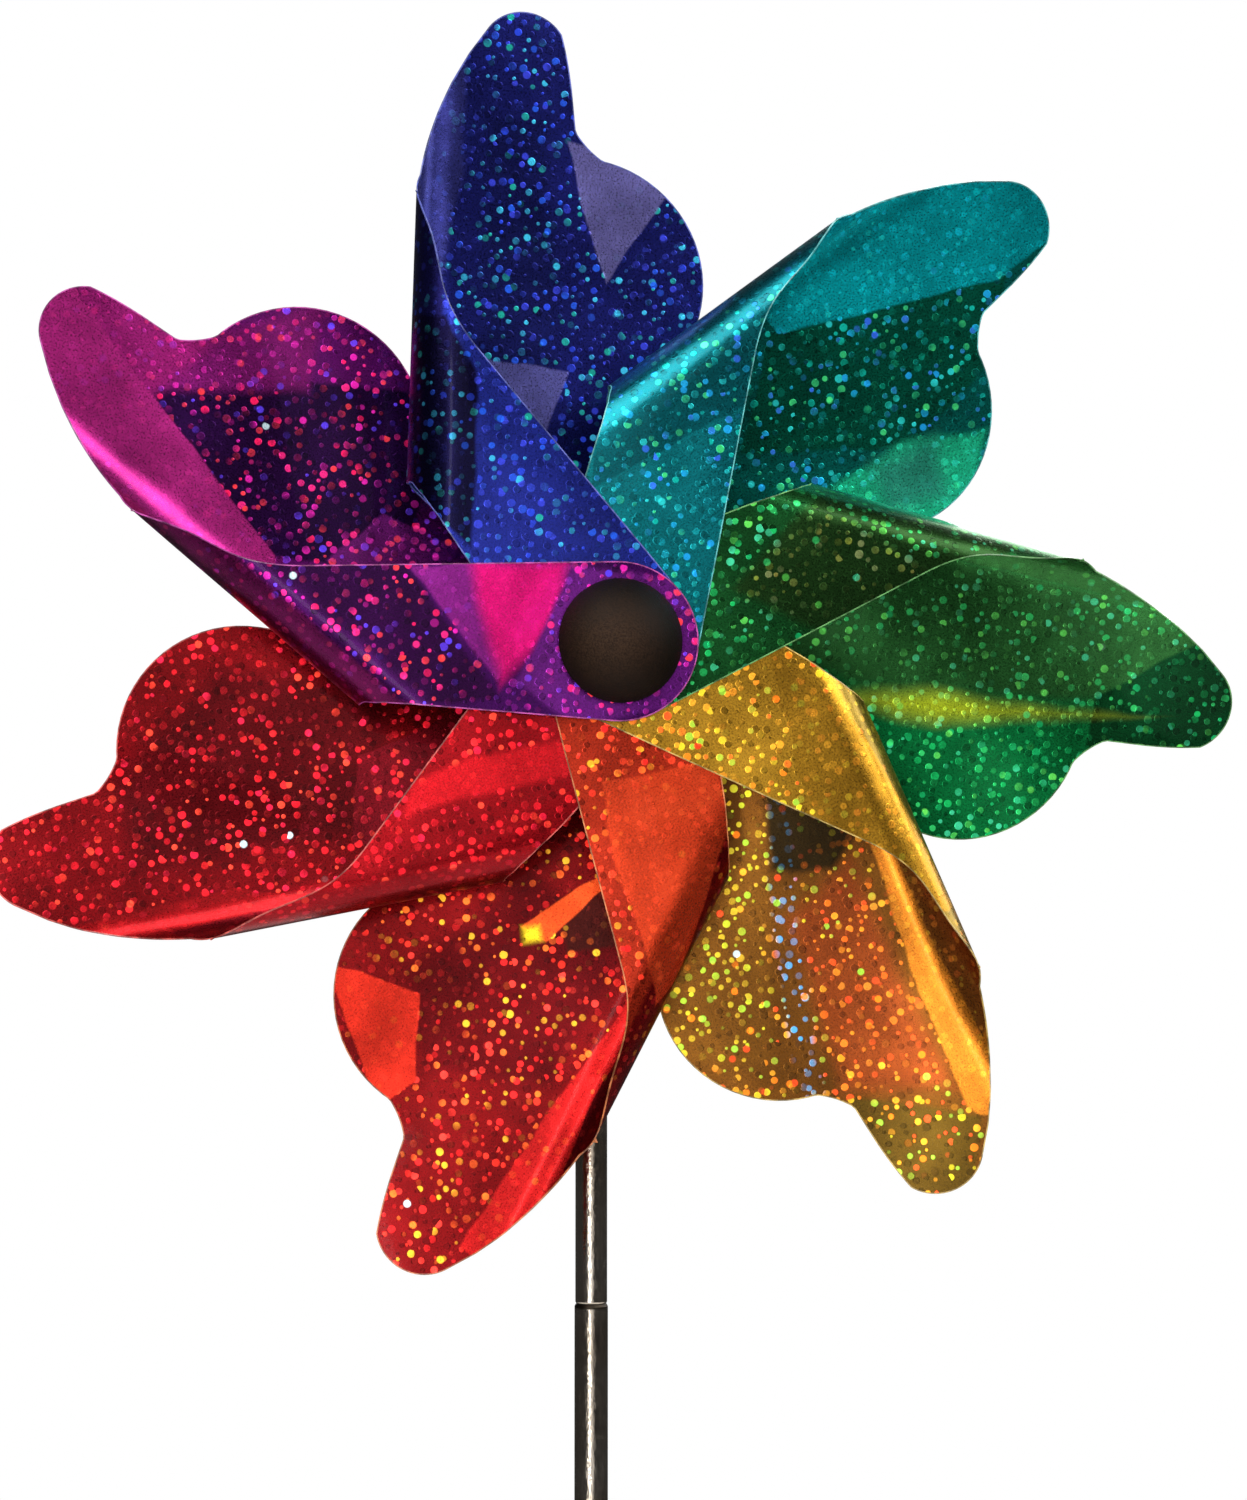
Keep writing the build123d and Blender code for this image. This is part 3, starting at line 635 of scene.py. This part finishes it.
def metal_material(name, tone, rough, turned=False):
    """Plain metal with fine lines along its length: up, or along the axle where it is turned."""
    n = Nodes(name)
    where = n.object_space()
    stretched = n.add("ShaderNodeMapping", {"Vector": where,
                                            "Scale": (1, 0.05, 1) if turned else (1, 1, 0.05)}).outputs[0]
    lines = n.noise(stretched, 900.0, 3.0, 0.6)
    stain = n.noise(where, 70.0, 4.0, 0.6)
    colour = n.mix(n.remap(stain, 0.35, 0.7), (*tone, 1), (*[c * 0.72 for c in tone], 1))
    bump = n.add("ShaderNodeBump", {"Height": lines, "Strength": 0.10, "Distance": 0.0001})
    metal = n.add("ShaderNodeBsdfPrincipled", {"Base Color": colour, "Metallic": 1.0,
                                               "Roughness": n.remap(lines, 0.2, 0.8, rough, rough + 0.12),
                                               "Normal": bump.outputs["Normal"]})
    return n.finish(metal.outputs[0])


def pole_material():
    """Dark plated tube: fine pits break its one long highlight into specks."""
    n = Nodes("dark_plated_tube")
    where = n.object_space()
    pits = n.add("ShaderNodeTexVoronoi", {"Vector": where, "Scale": 1100.0}).outputs["Distance"]
    drawn = n.add("ShaderNodeMapping", {"Vector": where, "Scale": (1, 1, 0.30)}).outputs[0]
    waves = n.noise(drawn, 1300.0, 3.0, 0.6)
    brown = n.noise(where, 30.0, 3.0, 0.5)
    colour = n.mix(n.remap(brown, 0.35, 0.65), (0.38, 0.31, 0.24, 1), (0.52, 0.46, 0.39, 1))
    height = n.math("ADD", n.math("MULTIPLY", pits, 0.4), waves)
    bump = n.add("ShaderNodeBump", {"Height": height, "Strength": 0.22, "Distance": 0.0004})
    rough = n.remap(waves, 0.3, 0.7, 0.13, 0.25)
    up = n.add("ShaderNodeSeparateXYZ", {"Vector": where}).outputs["Z"]
    for section in ("middle_pole", "lower_pole"):  # darker and rougher in a narrow band at each section's top edge, where one slips into the next
        off = n.math("ABSOLUTE", n.math("SUBTRACT", up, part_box(section)[1].z - 0.4 * MM))
        joint_dark = n.remap(off, 0.5 * MM, 0.9 * MM, 1.0, 0.0)
        colour = n.mix(joint_dark, colour, (0.035, 0.028, 0.02, 1))
        rough = n.math("MAXIMUM", rough, n.math("MULTIPLY", joint_dark, 0.45))
    tube = n.add("ShaderNodeBsdfPrincipled", {"Base Color": colour, "Metallic": 1.0, "Roughness": rough,
                                              "Normal": bump.outputs["Normal"]})
    return n.finish(tube.outputs[0])


def dress(nodes, material):
    """Gives CAD nodes their finish."""
    for node in nodes:
        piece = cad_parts[node]
        piece.data.materials.clear()
        piece.data.materials.append(material)


# ---------------------------------------------------------------- petals
flat_film = cut_film()
for index, colour in enumerate(COLOURS):
    petal(index, colour, flat_film)
bpy.data.objects.remove(flat_film)

# ---------------------------------------------------------------- hard parts
dress(["hub_cap"], rubber_material())
dress(["hub_barrel", "front_flange", "tab_clamp_washer", "back_plate", "back_retainer", "root_studs"],
      moulded_material("black_hub", (0.018, 0.017, 0.016), 0.28))
dress(["pole_head"], moulded_material("black_head", (0.022, 0.021, 0.020), 0.4))
dress(["front_bush", "rear_bush"], moulded_material("natural_acetal", (0.72, 0.70, 0.64), 0.35))
dress(["front_thrust_washer", "rear_thrust_washer"], moulded_material("natural_nylon", (0.66, 0.63, 0.54), 0.4))
dress(["axle", "rear_washer", "rear_nut"], metal_material("zinc_plate", (0.55, 0.55, 0.57), 0.22, turned=True))
dress(["upper_pole", "middle_pole", "lower_pole"], pole_material())
dress(["ground_spike"], metal_material("ground_steel", (0.22, 0.21, 0.20), 0.3))


# ---------------------------------------------------------------- light, floor and backdrop
def studio_world():
    """White to the eye; in reflections a dim room, a little dimmer straight ahead of the wheel."""
    world = bpy.data.worlds.new("studio")
    bpy.context.scene.world = world
    world.use_nodes = True
    tree = world.node_tree
    tree.nodes.clear()
    new = tree.nodes.new
    where = new("ShaderNodeTexCoord")
    split = new("ShaderNodeSeparateXYZ")
    facing = new("ShaderNodeMapRange")
    facing.interpolation_type = "SMOOTHSTEP"
    room = new("ShaderNodeBackground")
    white = new("ShaderNodeBackground")
    white.inputs["Color"].default_value = (1, 1, 1, 1)
    white.inputs["Strength"].default_value = 1.0
    path = new("ShaderNodeLightPath")
    both = new("ShaderNodeMixShader")
    out = new("ShaderNodeOutputWorld")
    link = tree.links.new
    link(where.outputs["Generated"], split.inputs[0])
    link(split.outputs["Y"], facing.inputs["Value"])
    facing.inputs["From Min"].default_value = -0.80  # straight ahead of the wheel is -1
    facing.inputs["From Max"].default_value = -0.55
    facing.inputs["To Min"].default_value = 0.05
    facing.inputs["To Max"].default_value = 0.06
    link(facing.outputs["Result"], room.inputs["Strength"])
    link(path.outputs["Is Camera Ray"], both.inputs[0])
    link(room.outputs[0], both.inputs[1])
    link(white.outputs[0], both.inputs[2])
    link(both.outputs[0], out.inputs[0])


def area_light(name, direction, distance, size, power):
    """A softbox seen from the hub at an angle to the side and an angle up, turned towards the hub."""
    data = bpy.data.lights.new(name, "AREA")
    data.shape = "RECTANGLE"
    data.size, data.size_y = size
    data.energy = power
    light = bpy.data.objects.new(name, data)
    bpy.context.scene.collection.objects.link(light)
    side, rise = (radians(a) for a in direction)
    towards = Vector((sin(side) * cos(rise), -cos(side) * cos(rise), sin(rise)))
    light.location = Vector((hub.x, tab_front, hub.z)) + towards * distance
    light.rotation_euler = (-towards).to_track_quat("-Z", "Y").to_euler()
    light.visible_camera = False


studio_world()
area_light("key_softbox", (-36, 45), 1.3, (1.0, 1.0), 22)
area_light("front_softbox", (-10, -4), 1.5, (1.0, 1.7), 5.0)
area_light("fill_softbox", (52, 34), 1.4, (0.9, 0.8), 15)
area_light("strip_light", (-19, -18), 1.45, (0.16, 1.9), 9)
area_light("rear_softbox", (150, 35), 1.6, (1.2, 1.2), 36)
area_light("side_softbox", (100, 30), 1.6, (1.0, 1.0), 14)

deselect()
bpy.ops.mesh.primitive_circle_add(vertices=96, radius=FLOOR_RADIUS, fill_type="NGON",
                                  location=(0, 0, ground - 0.2 * MM))
floor = bpy.context.object
floor.name = "studio_floor"
floor_nodes = Nodes("pale_floor")
speckle = floor_nodes.noise(floor_nodes.object_space(), 40.0, 3.0, 0.5)
pale = floor_nodes.mix(speckle, (0.80, 0.79, 0.77, 1), (0.86, 0.855, 0.84, 1))
paint = floor_nodes.add("ShaderNodeBsdfPrincipled", {"Base Color": pale, "Roughness": 0.7}).outputs[0]
reach = floor_nodes.add("ShaderNodeVectorMath", {0: floor_nodes.object_space()}, operation="LENGTH").outputs["Value"]
fade = floor_nodes.remap(reach, *FLOOR_FADE)
nothing = floor_nodes.add("ShaderNodeBsdfTransparent").outputs[0]
faded = floor_nodes.add("ShaderNodeMixShader", {0: fade, 1: paint, 2: nothing})
floor.data.materials.append(floor_nodes.finish(faded.outputs[0]))

bpy.context.scene.view_settings.view_transform = "Standard"
